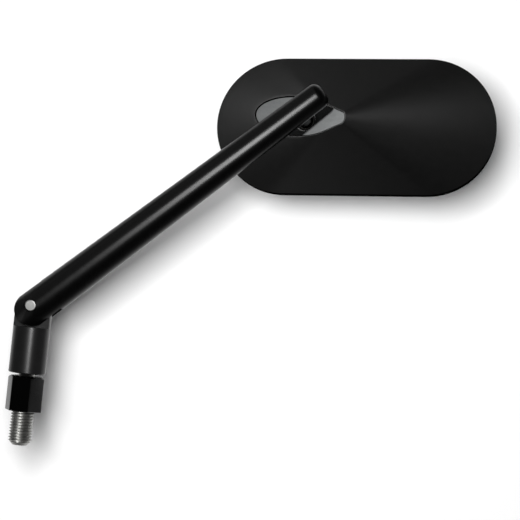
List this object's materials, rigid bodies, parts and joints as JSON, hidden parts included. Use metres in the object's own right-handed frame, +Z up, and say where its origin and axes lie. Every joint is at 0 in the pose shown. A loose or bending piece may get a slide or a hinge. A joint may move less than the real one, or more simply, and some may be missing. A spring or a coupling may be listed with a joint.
{
  "type": "motorcycle mirror",
  "caption": "Handlebar mirror with an oblong convex glass in a black cone-backed housing, on a ball joint and a tapered folding arm with a threaded mounting stud and lock nut.",
  "frame": {"origin": "on the stud's axis, at the upper end of the bare thread, 0.1 mm under the lock nut", "axes": "+Z up the stud towards the base; the arm leans to +X and folds in the XZ plane; the glass faces +Y and the conical back faces -Y"},
  "size_m": [0.1956, 0.0409, 0.1841],
  "materials": {
    "stud_steel": "turned and rolled, bare",
    "nut_black": "satin black",
    "arm_black": "polished and black anodised",
    "housing_black": "satin black anodised",
    "leaf_aluminium": "brushed grey",
    "screw_steel": "bright",
    "stud_black": "turned and blackened",
    "spring_steel": "oiled",
    "plate_steel": "zinc plated",
    "bush_bronze": "plain",
    "washer_fibre": "matt",
    "liner_plastic": "smooth, natural",
    "cup_plastic": "smooth",
    "foam_black": "soft",
    "mirror": "silvered glass"
  },
  "bodies": {
    "base": {"mount_stud": "stud_steel", "base_knuckle": "arm_black", "pivot_bush": "bush_bronze", "friction_washer_front": "washer_fibre", "friction_washer_back": "washer_fibre"},
    "nut": {"lock_nut": "nut_black"},
    "folding_arm": {"arm": "arm_black", "pivot_screw": "screw_steel", "pivot_disc_spring": "spring_steel"},
    "ball": {"ball_stud": "stud_black"},
    "liner": {"ball_liner": "liner_plastic"},
    "head": {"housing": "housing_black", "leaf_plate": "leaf_aluminium", "pressure_cup": "cup_plastic", "cup_spring": "spring_steel", "clamp_plate": "plate_steel", "clamp_screw_1": "screw_steel", "clamp_screw_2": "screw_steel", "clamp_screw_3": "screw_steel", "adhesive_ring": "foam_black", "mirror_glass": "mirror"}
  },
  "joints": [
    {"name": "lock_nut_spin", "type": "hinge", "parent": "base", "child": "nut", "pos_m": [0, 0, 0], "axis": [0, 0, 1], "continuous": true},
    {"name": "arm_fold", "type": "hinge", "parent": "base", "child": "folding_arm", "pos_m": [0, 0, 0.0456], "axis": [0, 1, 0], "range_deg": [-135, 40]},
    {"name": "head_roll", "type": "hinge", "parent": "folding_arm", "child": "ball", "pos_m": [0.10755, 0.01512, 0.13613], "axis": [0.2088, 0.9511, -0.2278], "continuous": true},
    {"name": "head_tilt", "type": "hinge", "parent": "ball", "child": "liner", "pos_m": [0.10755, 0.01512, 0.13613], "axis": [0.9959, 0, 0.0906], "range_deg": [-8, 8]},
    {"name": "head_pan", "type": "hinge", "parent": "liner", "child": "head", "pos_m": [0.10755, 0.01512, 0.13613], "axis": [-0.0897, 0.1444, 0.9855], "range_deg": [-8, 8]}
  ]
}
